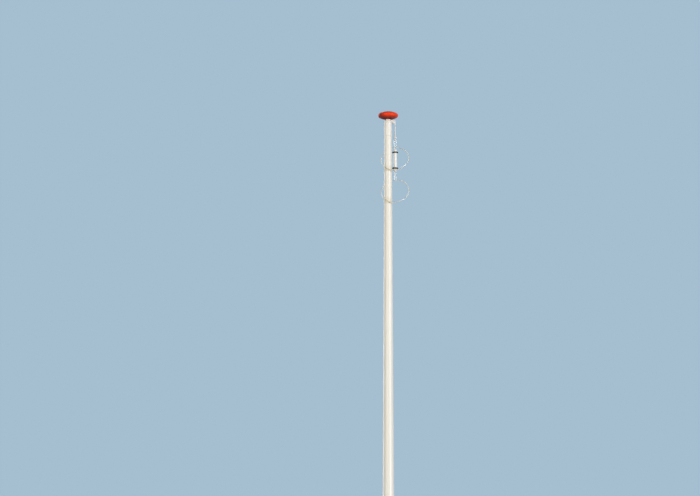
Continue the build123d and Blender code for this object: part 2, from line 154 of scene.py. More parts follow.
zinc = Finish("galvanised_zinc", {"Specular IOR Level": 0.4})
crystals = {"Vector": zinc.place(), "Scale": 1 / crystal}
crystal_colour = zinc.node("ShaderNodeTexVoronoi", {}, crystals, "Color")
crystal_tone = zinc.node("ShaderNodeSeparateColor", {}, {"Color": crystal_colour})
bloom = zinc.rise(zinc.patches(0.045, 6), 0.48, 0.72)
splash = zinc.rise(zinc.height() + 0.02 * zinc.patches(0.02, 4), 0.022, 0.008)
bare_zinc = zinc.mix(crystal_tone, dark_zinc, light_zinc)
dull_zinc = zinc.mix(0.7 * bloom, bare_zinc, white_bloom)
zinc.feed("Base Color", zinc.mix(0.55 * splash, dull_zinc, splashed_mud))
zinc.feed("Metallic", 0.85 - 0.5 * bloom - 0.3 * splash)
zinc.feed("Roughness", 0.36 + 0.1 * crystal_tone + 0.3 * bloom)
zinc.emboss(0.6 * zinc.patches(0.004, 4) + 0.4 * crystal_tone, 0.0003)
zinc.cover("base_plate", "stub_tube")

# Anchor studs with their washers and nuts
# Four M16 threaded rods set in the footing. Each comes up through its hole in the flange, and a
# washer and a galvanised nut hold the flange down on it. The rods are sawn off over the nuts.

anchor_place = 0.120
flange_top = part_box("base_plate")[1].z
stud_radius = 0.008
stud_top = 0.049
thread_pitch = 0.002
thread_depth = 0.0012
thread_steps = 16
washer_radius = 0.015
washer_bore = 0.0085
washer_thickness = 0.003
washer_edge = 0.0004
nut_flats = 0.024
nut_height = 0.013
nut_chamfer = 0.0014
nut_chamfer_overrun = 0.0006
nut_countersink = 0.0012
# About ten times what rounding moves a corner at the pole's top.
seam_gap = 0.00001


def draw(corners, origin=(0, 0, 0)):
    """Draws an outline from corner to corner, by extruding one vertex, and stays in edit mode."""
    bpy.ops.object.select_all(action="DESELECT")
    bpy.ops.mesh.primitive_plane_add(size=0.001, location=origin)
    bpy.ops.object.mode_set(mode="EDIT")
    bpy.ops.mesh.merge(type="CENTER")
    bpy.ops.transform.translate(value=corners[0])
    for before, after in zip(corners, corners[1:]):
        reach = Vector(after) - Vector(before)
        bpy.ops.mesh.extrude_region_move(TRANSFORM_OT_translate={"value": reach})


def lathe(profile, origin=(0, 0, 0), axis=(0, 0, 1), steps=48):
    """Spins a profile of (radius, height) corners about an axis through the origin."""
    turn = Vector((0, 0, 1)).rotation_difference(Vector(axis))
    draw([turn @ Vector((radius, 0, height)) for radius, height in profile], origin)
    bpy.ops.mesh.select_all(action="SELECT")
    bpy.ops.mesh.spin(steps=steps, angle=math.tau, center=origin, axis=axis)


def clean(smooth=35):
    """Leaves edit mode with a closed, outward mesh whose place is in it, and returns the piece."""
    bpy.ops.mesh.select_all(action="SELECT")
    bpy.ops.mesh.remove_doubles(threshold=seam_gap)
    bpy.ops.mesh.normals_make_consistent(inside=False)
    bpy.ops.object.mode_set(mode="OBJECT")
    bpy.ops.object.transform_apply(location=True, rotation=True, scale=True)
    bpy.ops.object.shade_smooth_by_angle(angle=math.radians(smooth))
    return bpy.context.object


def carve(piece, tool, operation):
    """Cuts a piece by a tool, or down to it, and throws the tool away."""
    bpy.ops.object.select_all(action="DESELECT")
    piece.select_set(True)
    bpy.context.view_layer.objects.active = piece
    cut = piece.modifiers.new("cut", "BOOLEAN")
    cut.operation = operation
    cut.object = tool
    bpy.ops.object.modifier_apply(modifier="cut")
    bpy.data.objects.remove(tool)


def fit(piece, name, finish, body):
    """Names a piece, gives it its finish and lets it ride on its body."""
    piece.name = name
    piece.data.materials.clear()
    piece.data.materials.append(finish.material)
    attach(piece, body)


def repeat(piece, moves):
    """Copies a piece, each copy with its own mesh, by each further move."""
    name = piece.name
    piece.name = f"{name}_1"
    for number, move in enumerate(moves, 2):
        other = piece.copy()
        other.data = piece.data.copy()
        other.data.transform(move)
        if move.determinant() < 0:
            other.data.flip_normals()
        other.name = f"{name}_{number}"
        bpy.context.scene.collection.objects.link(other)


anchor = Vector((anchor_place, anchor_place, 0))
other_anchors = [
    Matrix.Translation((-2 * anchor_place, 0, 0)),
    Matrix.Translation((-2 * anchor_place, -2 * anchor_place, 0)),
    Matrix.Translation((0, -2 * anchor_place, 0)),
]

thread_root = stud_radius - thread_depth
draw([
    (thread_root, 0, -thread_pitch),
    (stud_radius, 0, -thread_pitch / 2),
    (thread_root, 0, 0),
], anchor)
bpy.ops.object.mode_set(mode="OBJECT")
stud = bpy.context.object
winding = stud.modifiers.new("winding", "SCREW")
winding.screw_offset = thread_pitch
winding.iterations = math.ceil(stud_top / thread_pitch) + 2
winding.steps = winding.render_steps = thread_steps
winding.use_merge_vertices = True
winding.merge_threshold = seam_gap
bpy.ops.object.modifier_apply(modifier="winding")
for height, way in ((0, -1), (stud_top, 1)):
    bpy.ops.object.mode_set(mode="EDIT")
    bpy.ops.mesh.select_all(action="SELECT")
    bpy.ops.mesh.bisect(plane_co=(0, 0, height), plane_no=(0, 0, way), use_fill=True, clear_outer=True)
    bpy.ops.object.mode_set(mode="OBJECT")
bpy.ops.object.mode_set(mode="EDIT")
fit(clean(), "anchor_stud", zinc, "pole")
repeat(stud, other_anchors)

washer_top = flange_top + washer_thickness
lathe([
    (washer_bore, flange_top),
    (washer_radius, flange_top),
    (washer_radius, washer_top - washer_edge),
    (washer_radius - washer_edge, washer_top),
    (washer_bore, washer_top),
    (washer_bore, flange_top),
], anchor)
washer = clean()
fit(washer, "anchor_washer", zinc, "pole")
repeat(washer, other_anchors)

nut_corner = nut_flats / math.sqrt(3)
nut_top = washer_top + nut_height
nut_middle = anchor + Vector((0, 0, (washer_top + nut_top) / 2))
bpy.ops.object.select_all(action="DESELECT")
bpy.ops.mesh.primitive_cylinder_add(vertices=6, radius=nut_corner, depth=nut_height, location=nut_middle)
nut = bpy.context.object
lathe([
    (thread_root, washer_top),
    (nut_flats / 2, washer_top),
    (nut_corner + nut_chamfer_overrun, washer_top + nut_chamfer),
    (nut_corner + nut_chamfer_overrun, nut_top - nut_chamfer),
    (nut_flats / 2, nut_top),
    (stud_radius + nut_countersink, nut_top),
    (thread_root, nut_top - nut_countersink),
    (thread_root, washer_top),
], anchor, steps=64)
carve(nut, clean(), "INTERSECT")
bpy.ops.object.mode_set(mode="EDIT")
fit(clean(), "anchor_nut", zinc, "pole")
repeat(nut, other_anchors)

# Collar round the pole's foot
# A cast aluminium ring, painted white, that covers the joint between the pole and the flange. Three
# socket screws hold it, and a bead of grey sealant keeps the rain out of it.


def white_paint(name, tone, dirty_height, clean_height):
    """Satin white paint on metal, with a fine orange peel, and grimy towards one height."""
    streaked = (0.64, 0.61, 0.53, 1)
    clouded = (0.76, 0.74, 0.67, 1)
    grimy = (0.33, 0.31, 0.27, 1)
    paint = Finish(name, {"Specular IOR Level": 0.45})
    streak = paint.patches(0.006, 4, (1, 1, 0.08))
    cloud = paint.patches(0.05, 3)
    wavy_height = paint.height() + 0.006 * (paint.patches(0.008, 5) - 0.5)
    grime = paint.rise(wavy_height, clean_height, dirty_height)
    worn = paint.mix(0.3 * paint.rise(streak, 0.5, 0.8), tone, streaked)
    worn = paint.mix(0.2 * cloud, worn, clouded)
    paint.feed("Base Color", paint.mix(0.3 * grime * streak, worn, grimy))
    paint.feed("Roughness", 0.32 + 0.2 * cloud + 0.15 * grime)
    paint.emboss(paint.patches(0.0016, 2), 0.00006)
    return paint


collar_low, collar_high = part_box("foot_collar")
collar_grime_top = collar_low.z + 0.03
collar_paint = white_paint("collar_paint", (0.78, 0.77, 0.74, 1), collar_low.z, collar_grime_top)
collar_paint.cover("foot_collar")

bright_steel = (0.75, 0.75, 0.74, 1)
tea_stain = (0.40, 0.28, 0.18, 1)

steel = Finish("polished_stainless", {"Specular IOR Level": 0.5})
tea = steel.rise(steel.patches(0.009, 6), 0.58, 0.74)
brushed = steel.patches(0.0012, 3, (1, 1, 0.15))
steel.feed("Base Color", steel.mix(0.4 * tea, bright_steel, tea_stain))
steel.feed("Metallic", 0.88 - 0.3 * tea)
steel.feed("Roughness", 0.3 + 0.14 * brushed + 0.2 * tea)
steel.emboss(brushed, 0.00003)


def socket_screw(name, body, radius, reach, heading, height, bury, proud):
    """A set screw that points at the pole's axis, with a hexagon socket in its end."""
    turn = math.radians(heading)
    out = Vector((math.cos(turn), math.sin(turn), 0))
    face = out * (reach + proud) + Vector((0, 0, height))
    chamfer = radius * 0.12
    socket_radius = radius * 0.55
    lathe([
        (0, -bury),
        (radius, -bury),
        (radius, -chamfer),
        (radius - chamfer, 0),
        (0, 0),
    ], face, out, steps=24)
    screw = clean()
    bpy.ops.object.select_all(action="DESELECT")
    bpy.ops.mesh.primitive_cylinder_add(vertices=6, radius=socket_radius, depth=radius, location=face,
                                        rotation=out.to_track_quat("Z", "Y").to_euler())
    carve(screw, bpy.context.object, "DIFFERENCE")
    bpy.ops.object.mode_set(mode="EDIT")
    fit(clean(), name, steel, body)
    return screw


def turns(count):
    """The further turns about the pole's axis that share a circle with a first place."""
    return [Matrix.Rotation(math.tau * number / count, 4, "Z") for number in range(1, count)]


collar_screw = socket_screw("collar_screw", "pole", radius=0.004, reach=collar_high.x, heading=-90,
                            height=0.030, bury=0.006, proud=0.0006)
repeat(collar_screw, turns(3))

shaft_low, shaft_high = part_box("pole_shaft")
shaft_top_radius = 0.030


def pole_radius(height):
    """Outer radius of the pole, between its foot and its top."""
    share = (height - shaft_low.z) / (shaft_high.z - shaft_low.z)
    return shaft_high.x + (shaft_top_radius - shaft_high.x) * share


bead_width = 0.0045
bead_sink = 0.0005
bead_foot = collar_high.z - 0.001
bead_inside = pole_radius(collar_high.z) - bead_sink
lathe([
    (bead_inside, bead_foot),
    (bead_inside + bead_width, collar_high.z - 0.0002),
    (bead_inside + bead_width * 0.85, collar_high.z + bead_width * 0.35),
    (bead_inside + bead_width * 0.42, collar_high.z + bead_width * 0.62),
    (bead_inside + bead_width * 0.25, collar_high.z + bead_width),
    (bead_inside, collar_high.z + bead_width + 0.0003),
    (bead_inside, bead_foot),
], steps=72)

clean_sealant = (0.42, 0.42, 0.40, 1)
dirty_sealant = (0.27, 0.26, 0.23, 1)

seal = Finish("grey_sealant", {"Specular IOR Level": 0.35})
seal_dirt = seal.patches(0.006, 5)
seal.feed("Base Color", seal.mix(seal_dirt, clean_sealant, dirty_sealant))
seal.feed("Roughness", 0.5 + 0.3 * seal_dirt)
seal.emboss(seal.patches(0.004, 3), 0.0006)
fit(clean(smooth=60), "foot_seal_bead", seal, "pole")

# Shaft
# One tapered tube of glassfibre, wound on a mandrel, 162 mm wide at the foot and 60 mm at the top,
# with a white gelcoat. The weather has chalked it, and the flag rings have rubbed it yellow-brown.

rub_over_low_side = 0.012
rub_reach = 0.022
splash_low = 0.10
splash_high = 0.42


def gelcoat(name):
    """White gelcoat: chalked in long streaks, grimy at the foot and rubbed where the rings lie."""
    fresh = (0.80, 0.79, 0.755, 1)
    yellowed = (0.79, 0.765, 0.69, 1)
    chalked = (0.70, 0.68, 0.61, 1)
    rain_grey = (0.52, 0.50, 0.45, 1)
    rubbed_brown = (0.60, 0.50, 0.33, 1)
    muddy = (0.34, 0.31, 0.25, 1)
    coat = Finish(name, {"Coat Roughness": 0.36, "IOR": 1.5})
    streak = coat.patches(0.011, 5, (1, 1, 0.012))
    run = coat.patches(0.004, 3, (1, 1, 0.01))
    cloud = coat.patches(0.55, 4, (1, 1, 0.5))
    colour = coat.mix(0.6 * coat.rise(cloud, 0.35, 0.7), fresh, yellowed)
    colour = coat.mix(0.5 * coat.rise(streak, 0.52, 0.75), colour, chalked)
    colour = coat.mix(0.22 * coat.rise(run, 0.6, 0.78), colour, rain_grey)
    height = coat.height()
    rubbed = 0
    for ring in ("upper_ring", "lower_ring"):
        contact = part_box(ring)[0].z + rub_over_low_side
        band = coat.rise(height, contact - rub_reach, contact - 0.3 * rub_reach)
        band = band * coat.rise(height, contact + 2.2 * rub_reach, contact + 0.5 * rub_reach)
        rubbed = band + rubbed
    rub = rubbed * (0.35 + 0.65 * coat.rise(coat.patches(0.012, 6, (1, 1, 3.5)), 0.4, 0.65))
    colour = coat.mix(0.5 * rub, colour, rubbed_brown)
    splash = coat.rise(height + 0.25 * coat.patches(0.03, 6, (1, 1, 0.4)), splash_high, splash_low)
    coat.feed("Base Color", coat.mix(0.5 * splash, colour, muddy))
    coat.feed("Coat Weight", 0.22 - 0.18 * coat.rise(cloud, 0.4, 0.7))
    coat.feed("Roughness", 0.3 + 0.16 * cloud + 0.1 * streak + 0.2 * rub + 0.2 * splash)
    coat.emboss(coat.patches(0.006, 3, (1, 1, 0.25)) + 0.3 * streak, 0.00012)
    return coat


gelcoat("shaft_gelcoat").cover("pole_shaft")

# Hatch
# The cut-out piece of the tube is the door, and a laminated frame bonded behind the opening carries
# it. A stainless barrel lock with a triangular key way holds it shut over the halyard's cleat.

gelcoat("door_gelcoat").cover("hatch_door")

dark_laminate = (0.36, 0.36, 0.31, 1)
light_laminate = (0.52, 0.51, 0.44, 1)

laminate = Finish("raw_laminate", {"Specular IOR Level": 0.4})
glass_mat = laminate.patches(0.003, 4, (1, 1, 0.3))
laminate.feed("Base Color", laminate.mix(glass_mat, dark_laminate, light_laminate))
laminate.feed("Roughness", 0.5 + 0.25 * glass_mat)
laminate.emboss(glass_mat, 0.0003)
laminate.cover("hatch_frame")

tool_mark = 0.0005
# At scale 1, the rings turn through this many radians in a metre.
ring_radians = 20


def turned_steel(node, dullness):
    """Stainless faced on a lathe, with the tool's fine rings about the piece's own axis, along Y."""
    dark_cut = (0.50, 0.50, 0.50, 1)
    light_cut = (0.68, 0.68, 0.67, 1)
    faced = Finish(f"turned_{node}", {"Metallic": 0.85, "Specular IOR Level": 0.5})
    low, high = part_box(node)
    from_axis = faced.node("ShaderNodeVectorMath", {"operation": "SUBTRACT"},
                           {0: faced.place(), 1: (low + high) / 2})
    cut = faced.node("ShaderNodeTexWave", {"wave_type": "RINGS", "rings_direction": "Y"}, {
        "Vector": from_axis,
        "Scale": math.tau / ring_radians / tool_mark,
        "Distortion": 1.5,
        "Detail": 3,
    })
    faced.feed("Base Color", faced.mix(cut, dark_cut, light_cut))
    faced.feed("Roughness", dullness + 0.14 * cut)
    faced.emboss(cut, 0.00004)
    faced.cover(node)


turned_steel("hatch_lock", dullness=0.6)

# Sleeve round the pole's top
# A thin aluminium sleeve, painted white, pressed over the end of the tube so that it can't split
# round the bearing. Three small screws pin it.

sleeve_low, sleeve_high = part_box("top_sleeve")
sleeve_grime_top = sleeve_low.z + 0.012
sleeve_paint = white_paint("sleeve_paint", (0.80, 0.79, 0.76, 1), sleeve_low.z, sleeve_grime_top)
sleeve_paint.cover("top_sleeve")
sleeve_screw = socket_screw("sleeve_screw", "pole", radius=0.003, reach=sleeve_high.x, heading=-30,
                            height=9.915, bury=0.004, proud=0.0012)
repeat(sleeve_screw, turns(3))

# Bearing of the turning head
# A grey acetal bush with a flange sits in the pole's end, and the head's stainless stem turns in it.
# Only the rim of the bush shows, in the slit under the cap.

light_acetal = (0.34, 0.34, 0.34, 1)
dark_acetal = (0.24, 0.24, 0.24, 1)

acetal = Finish("grey_acetal", {"Specular IOR Level": 0.5})
acetal_wear = acetal.patches(0.005, 4)
acetal.feed("Base Color", acetal.mix(acetal_wear, light_acetal, dark_acetal))
acetal.feed("Roughness", 0.38 + 0.2 * acetal_wear)
acetal.emboss(acetal.patches(0.0012, 3), 0.00005)
acetal.cover("bearing_bush")
steel.cover("truck_stem", "finial_stud")

# Cap and arm of the head
# The cap is an aluminium casting, turned and painted white, with a smooth way bored through it for
# the rope. The arm is a forked casting of two cheeks, welded on the cap, and holds the sheave.

cap_low, cap_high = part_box("truck_cap")
lip_height = 0.006
cap_grime_top = cap_low.z + 0.003
cap_paint = white_paint("cap_paint", (0.88, 0.87, 0.84, 1), cap_low.z, cap_grime_top)
cap_paint.cover("truck_cap", "outlet_arm")
cap_screw = socket_screw("cap_screw", "truck", radius=0.002, reach=cap_high.x, heading=60,
                         height=cap_low.z + lip_height / 2, bury=0.004, proud=0.0004)
repeat(cap_screw, turns(3))

# Welds of the arm
# A bead of weld down the root of each cheek, along the cap's cone and over its lip, left as it was
# laid in short ripples, and painted over with the cap.

arm_low, arm_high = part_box("outlet_arm")
lip_overhang = 0.0022
cone_height = 0.014
neck_radius = 0.020
cheek_foot = 0.0016
weld_radius = 0.0014
weld_step = 0.0003
steps_in_ripple = 5
ripple_depth = 0.16
weld_end = 0.5
cheek_face = arm_high.y
lip_top = cap_low.z + lip_height
cone_foot_radius = cap_high.x - lip_overhang


def on_cap(radius):
    """How far out the outer face of a cheek meets a circle of the cap."""
    return math.sqrt(radius ** 2 - cheek_face ** 2)


arm_root_radius = math.hypot(arm_low.x, cheek_face)
cone_share = (cone_foot_radius - arm_root_radius) / (cone_foot_radius - neck_radius)
weld_corners = [
    Vector((on_cap(cap_high.x), cheek_face, cap_low.z + cheek_foot)),
    Vector((on_cap(cap_high.x), cheek_face, lip_top)),
    Vector((on_cap(cone_foot_radius), cheek_face, lip_top)),
    Vector((arm_low.x, cheek_face, lip_top + cone_height * cone_share)),
]
weld_places = [weld_corners[0]]
for before, after in zip(weld_corners, weld_corners[1:]):
    steps = round((after - before).length / weld_step)
    weld_places += [before.lerp(after, step / steps) for step in range(1, steps + 1)]
draw(weld_places)
bpy.ops.object.mode_set(mode="OBJECT")
bpy.ops.object.convert(target="CURVE")
weld = bpy.context.object.data
weld.bevel_depth = weld_radius
weld.bevel_resolution = 3
weld.use_fill_caps = True
weld_points = weld.splines[0].points
for number, point in enumerate(weld_points):
    crest = abs(math.sin(math.pi * number / steps_in_ripple))
    point.radius = 1 - ripple_depth * (1 - crest)
weld_points[0].radius = weld_points[-1].radius = weld_end
bpy.ops.object.convert(target="MESH")
bpy.ops.object.mode_set(mode="EDIT")
arm_weld = clean(smooth=70)
fit(arm_weld, "arm_weld", cap_paint, "truck")
repeat(arm_weld, [Matrix.Scale(-1, 4, (0, 1, 0))])

# Sheave and its axle
# A grooved wheel turned from natural white acetal, which the rope has dirtied in its groove. It runs
# on a stainless pin through both cheeks.

natural_acetal = (0.80, 0.79, 0.75, 1)
rope_grime = (0.52, 0.50, 0.46, 1)

white_acetal = Finish("white_acetal", {"Specular IOR Level": 0.5})
groove_dirt = white_acetal.patches(0.005, 5)
white_acetal.feed("Base Color", white_acetal.mix(0.6 * groove_dirt, natural_acetal, rope_grime))
white_acetal.feed("Roughness", 0.34 + 0.2 * groove_dirt)
white_acetal.emboss(white_acetal.patches(0.0015, 3), 0.00005)
white_acetal.cover("sheave")
turned_steel("sheave_axle", dullness=0.42)

# Finial
# A hollow flattened ball of blow-moulded plastic, vermilion and glossy, that screws on a stud in the
# cap. The crown has gone dull with weather. The red is painted darker on the crown, the underside
# and the side away from the lamps, as painted shade, and the coat is duller there.

finial_low, finial_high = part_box("finial")
finial_equator = (finial_low.z + finial_high.z) / 2
shady_heading = math.radians(140)
shady_way = (math.cos(shady_heading), math.sin(shady_heading), 0)
fresh_red = (0.85, 0.048, 0.004, 1)
# Painted shade: a darker red for the crown, which faces away from the low lamps.
painted_crown_shade_red = (0.34, 0.027, 0.010, 1)
rain_red = (0.50, 0.022, 0.006, 1)
# Painted shade: a darker red for the side away from the lamps.
painted_side_shade_red = (0.07, 0.008, 0.006, 1)
# Painted shade: a darker red for the underside.
painted_underside_shade_red = (0.10, 0.009, 0.006, 1)
dust_speck = (0.45, 0.25, 0.18, 1)

vermilion = Finish("vermilion_gloss", {"Coat Roughness": 0.26, "Specular IOR Level": 0.12})
wave = 0.008 * (vermilion.patches(0.02, 5) - 0.5)
wavy_height = vermilion.height() + wave
# Painted shade on the crown. The same mask dulls the crown's coat, as weather does.
crown_shade_and_fade = vermilion.rise(wavy_height, finial_equator + 0.003, finial_equator + 0.026)
# Painted shade on the underside. This grimy mask darkens the red there and dulls its coat.
grimy = vermilion.rise(wavy_height, finial_equator - 0.009, finial_low.z + 0.003)
# Painted shade on the side that faces away from the lamps. The same mask dulls the coat there.
sideways = vermilion.node("ShaderNodeVectorMath", {"operation": "DOT_PRODUCT"},
                          {0: vermilion.place(), 1: shady_way}, "Value")
side_shade_and_dull_coat = vermilion.rise(sideways + 2 * wave, 0.012, 0.070)
specks = vermilion.rise(vermilion.patches(0.0035, 5), 0.64, 0.75)
runs = vermilion.rise(vermilion.patches(0.009, 4, (1, 1, 0.4)), 0.5, 0.8)
# Painted shade on the crown.
red = vermilion.mix(crown_shade_and_fade, fresh_red, painted_crown_shade_red)
red = vermilion.mix(0.2 * runs, red, rain_red)
# Painted shade on the side away from the lamps.
red = vermilion.mix(0.62 * side_shade_and_dull_coat, red, painted_side_shade_red)
# Painted shade on the underside.
red = vermilion.mix(0.85 * grimy, red, painted_underside_shade_red)
vermilion.feed("Base Color", vermilion.mix(0.15 * specks, red, dust_speck))
vermilion.feed("Coat Weight", (0.22 - 0.14 * crown_shade_and_fade) * (1 - 0.7 * grimy) * (1 - 0.5 * side_shade_and_dull_coat))
vermilion.feed("Roughness", 0.36 + 0.08 * runs + 0.1 * crown_shade_and_fade + 0.2 * grimy + 0.12 * side_shade_and_dull_coat)
vermilion.emboss(vermilion.patches(0.02, 3), 0.0001)
vermilion.cover("finial")

# Halyard
# An 8 mm braided polyester rope, white with grey dirt in its strands. It comes up inside the pole
# and through the cap, turns over the sheave and hangs straight down to the flag hook.

rope_diameter = 0.008
rope_points = [
    (0, 9.9781),
    (0, 9.998),
    (0.0003, 10.009),
    (0.012, 10.0136),
    (0.050, 10.0239),
    (0.0632, 10.0277),
    (0.0748, 10.0190),
    (0.0751, 10.0035),
    (0.075, 9.9705),
    (0.075, 9.8981),
]
braid_pitch = 0.0254
strands_each_way = 8
strand_step = 0.00055
strand_width = 0.0020
strand_thickness = 0.0009
strand_weave = 0.00042
strand_section = [(0.5, 0), (0.25, 0.5), (-0.25, 0.5), (-0.5, 0), (-0.25, -0.5), (0.25, -0.5)]
strand_sides = len(strand_section)
core_share = 0.66


def smooth_line(points):
    """Points read along a smooth line through space, from its given control points."""
    line = bpy.data.curves.new("line", "CURVE")
    line.dimensions = "3D"
    line.resolution_u = 24
    spline = line.splines.new("NURBS")
    spline.points.add(len(points) - 1)
    for point, place in zip(spline.points, points):
        point.co = (*place, 1)
    spline.order_u = 3
    spline.use_endpoint_u = True
    carrier = bpy.data.objects.new("line", line)
    mesh = bpy.data.meshes.new_from_object(carrier)
    read = np.array([vertex.co for vertex in mesh.vertices])
    bpy.data.objects.remove(carrier)
    bpy.data.meshes.remove(mesh)
    run = np.concatenate([[0], np.cumsum(np.linalg.norm(np.diff(read, axis=0), axis=1))])
    even = np.linspace(0, run[-1], math.ceil(run[-1] / strand_step) + 1)
    return np.stack([np.interp(even, run, read[:, axis]) for axis in range(3)], axis=1), even


def frames_along(line, side):
    """Two directions square to a line at each of its points, which don't twist along it."""
    ahead = np.gradient(line, axis=0)
    ahead /= np.linalg.norm(ahead, axis=1)[:, None]
    first = np.empty_like(line)
    carried = np.array(side, float)
    for place, direction in enumerate(ahead):
        carried = carried - direction * (carried @ direction)
        carried /= np.linalg.norm(carried)
        first[place] = carried
    return first, np.cross(ahead, first)


def strand_corners(centres, across, outward, width, thickness):
    """The corners of a flat rounded strand, one ring of them round each of its centres."""
    rings = [centres + across * (a * width) + outward * (b * thickness) for a, b in strand_section]
    return np.stack(rings, axis=1).reshape(-1, 3)


def strand_faces(rings, first):
    """The faces of a strand, closed at both ends, whose corners are numbered from the first on."""
    faces = []
    for ring in range(rings - 1):
        foot = first + ring * strand_sides
        for side in range(strand_sides):
            here = foot + side
            beside = foot + (side + 1) % strand_sides
            faces.append((here, beside, beside + strand_sides, here + strand_sides))
    last = first + (rings - 1) * strand_sides
    faces.append(tuple(range(first, first + strand_sides))[::-1])
    faces.append(tuple(range(last, last + strand_sides)))
    return faces


def braided(name, points, diameter, side):
    """A braided rope along control points: strands wound both ways, over and under, on a core."""
    line, run = smooth_line(points)
    first, second = frames_along(line, side)
    size = diameter / rope_diameter
    width = size * strand_width
    thickness = size * strand_thickness
    middle = diameter / 2 - size * (strand_weave + strand_thickness / 2)
    winding = math.tau * run / (braid_pitch * size)
    strands = []
    for way in (1, -1):
        for number in range(strands_each_way):
            angle = way * winding + math.tau * number / strands_each_way
            outward = first * np.cos(angle)[:, None] + second * np.sin(angle)[:, None]
            weave = way * size * strand_weave * np.cos(strands_each_way * winding)
            centres = line + outward * (middle + weave)[:, None]
            across = np.cross(outward, np.gradient(centres, axis=0))
            across /= np.linalg.norm(across, axis=1)[:, None]
            strands.append(strand_corners(centres, across, outward, width, thickness))
    core_width = core_share * diameter
    strands.append(strand_corners(line, first, second, core_width, core_width))
    faces = []
    for number, strand in enumerate(strands):
        faces += strand_faces(len(line), number * len(strand))
    mesh = bpy.data.meshes.new(name)
    mesh.from_pydata(np.concatenate(strands).tolist(), [], faces)
    along = np.tile(np.repeat(run, strand_sides), len(strands))
    layer = mesh.uv_layers.new(name="run")
    for loop in mesh.loops:
        corner = loop.vertex_index
        layer.data[loop.index].uv = (along[corner], corner % strand_sides / strand_sides)
    mesh.shade_smooth()
    rope = bpy.data.objects.new(name, mesh)
    bpy.context.scene.collection.objects.link(rope)
    return rope, line


filaments_in_metre = 900
dull_filament = (0.82, 0.825, 0.82, 1)
bright_filament = (0.92, 0.92, 0.91, 1)
dirty_filament = (0.58, 0.58, 0.57, 1)

polyester = Finish("white_polyester", {
    "Specular IOR Level": 0.3,
    "Sheen Weight": 0.25,
    "Sheen Roughness": 0.4,
})
along_rope = polyester.node("ShaderNodeUVMap", {"uv_map": "run"}, {})
along_rope = polyester.node("ShaderNodeMapping", {}, {"Vector": along_rope, "Scale": (1, 0.02, 1)})
filament = polyester.node("ShaderNodeTexNoise", {},
                          {"Vector": along_rope, "Scale": filaments_in_metre, "Detail": 3})
rope_dirt = polyester.rise(polyester.patches(0.012, 5), 0.42, 0.75)
fresh = polyester.mix(filament, dull_filament, bright_filament)
polyester.feed("Base Color", polyester.mix(0.25 * rope_dirt, fresh, dirty_filament))
polyester.feed("Roughness", 0.62 + 0.2 * filament)
polyester.emboss(filament, 0.00008)

rope_places = [(x, 0, z) for x, z in rope_points]
halyard, halyard_line = braided("halyard_rope", rope_places, rope_diameter, (0, 1, 0))
fit(halyard, "halyard_rope", polyester, "truck")
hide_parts("halyard_fall")

# Knot on the flag hook
# The rope's end passes through the hook's bow, comes back up and is wound two and a half times round
# the standing part. The tail sticks up beside it, and a hot knife has melted and browned its end.

knot_rope = 0.0072
hook_wire = 0.0046
through = Vector((-0.749, -0.663, 0))
beside = Vector((0.663, -0.749, 0))
bow_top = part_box("upper_hook_body")[1].z
bow_middle = Vector((rope_points[-1][0], 0, bow_top - hook_wire / 2))
loop_points = [
    (0, 33),
    (0, 20),
    (0.5, 11),
    (5.8, 5.5),
    (6.9, -1.5),
    (3.6, -6.6),
    (-3.6, -6.6),
    (-6.9, -1.5),
    (-6.6, 5.5),
]
wrap_turns = 2.5
wrap_points = 8
wrap_radius = 8.0
wrap_low = 11.8
wrap_high = 29.4
tail_points = [
    (7.9, 0.5, 34),
    (9.0, 0.6, 40),
]
millimetre = 0.001

knot_points = [(a, 0, z) for a, z in loop_points]
first_angle = math.pi
last_angle = first_angle + math.tau * wrap_turns
wrap_count = int(wrap_turns * wrap_points)
for number in range(wrap_count + 1):
    share = number / wrap_count
    angle = first_angle + (last_angle - first_angle) * share
    height = wrap_low + (wrap_high - wrap_low) * share
    knot_points.append((wrap_radius * math.cos(angle), wrap_radius * math.sin(angle), height))
for radius, past_wraps, height in tail_points:
    angle = last_angle + past_wraps
    knot_points.append((radius * math.cos(angle), radius * math.sin(angle), height))
up = Vector((0, 0, 1))
knot_places = [bow_middle + (through * a + beside * b + up * z) * millimetre for a, b, z in knot_points]
knot, knot_line = braided("halyard_knot_rope", knot_places, knot_rope, through)
fit(knot, "halyard_knot_rope", polyester, "truck")
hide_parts("halyard_knot")

melted_rope = (0.66, 0.62, 0.54, 1)
charred_rope = (0.25, 0.19, 0.13, 1)

melted = Finish("melted_polyester", {"Specular IOR Level": 0.5})
char = melted.rise(melted.patches(0.002, 4), 0.45, 0.7)
melted.feed("Base Color", melted.mix(char, melted_rope, charred_rope))
melted.feed("Roughness", 0.3 + 0.2 * char)
melted.emboss(melted.patches(0.0015, 3), 0.0003)

tail = Vector(knot_line[-1])
tail_way = (tail - Vector(knot_line[-4])).normalized()
tail_radius = knot_rope / 2
lathe([
    (0, -0.0010),
    (tail_radius * 0.94, -0.0010),
    (tail_radius * 1.05, 0.0002),
    (tail_radius * 1.02, 0.0012),
    (tail_radius * 0.75, 0.0020),
    (tail_radius * 0.35, 0.0017),
    (0, 0.0016),
], tail, tail_way, steps=24)
tail_tip = clean(smooth=60)
fit(tail_tip, "halyard_tail_tip", melted, "truck")

# Snap hooks
# Two stainless snap hooks of 4.6 mm rod, bent and polished, each with a gate that turns on a pin
# against a spring. The upper one carries the weight, and the lower one holds a flag ring.

steel.cover("upper_hook_body", "upper_hook_gate", "lower_hook_body", "lower_hook_gate")

# Counterweight
# A steel rod in a white plastic tube with domed ends, and a welded stainless eye screwed in each
# end. It pulls the halyard down. Knocks against the pole have scuffed it grey.

white_plastic = (0.82, 0.82, 0.81, 1)
grey_film = (0.70, 0.69, 0.64, 1)
scuffed_grey = (0.42, 0.42, 0.41, 1)

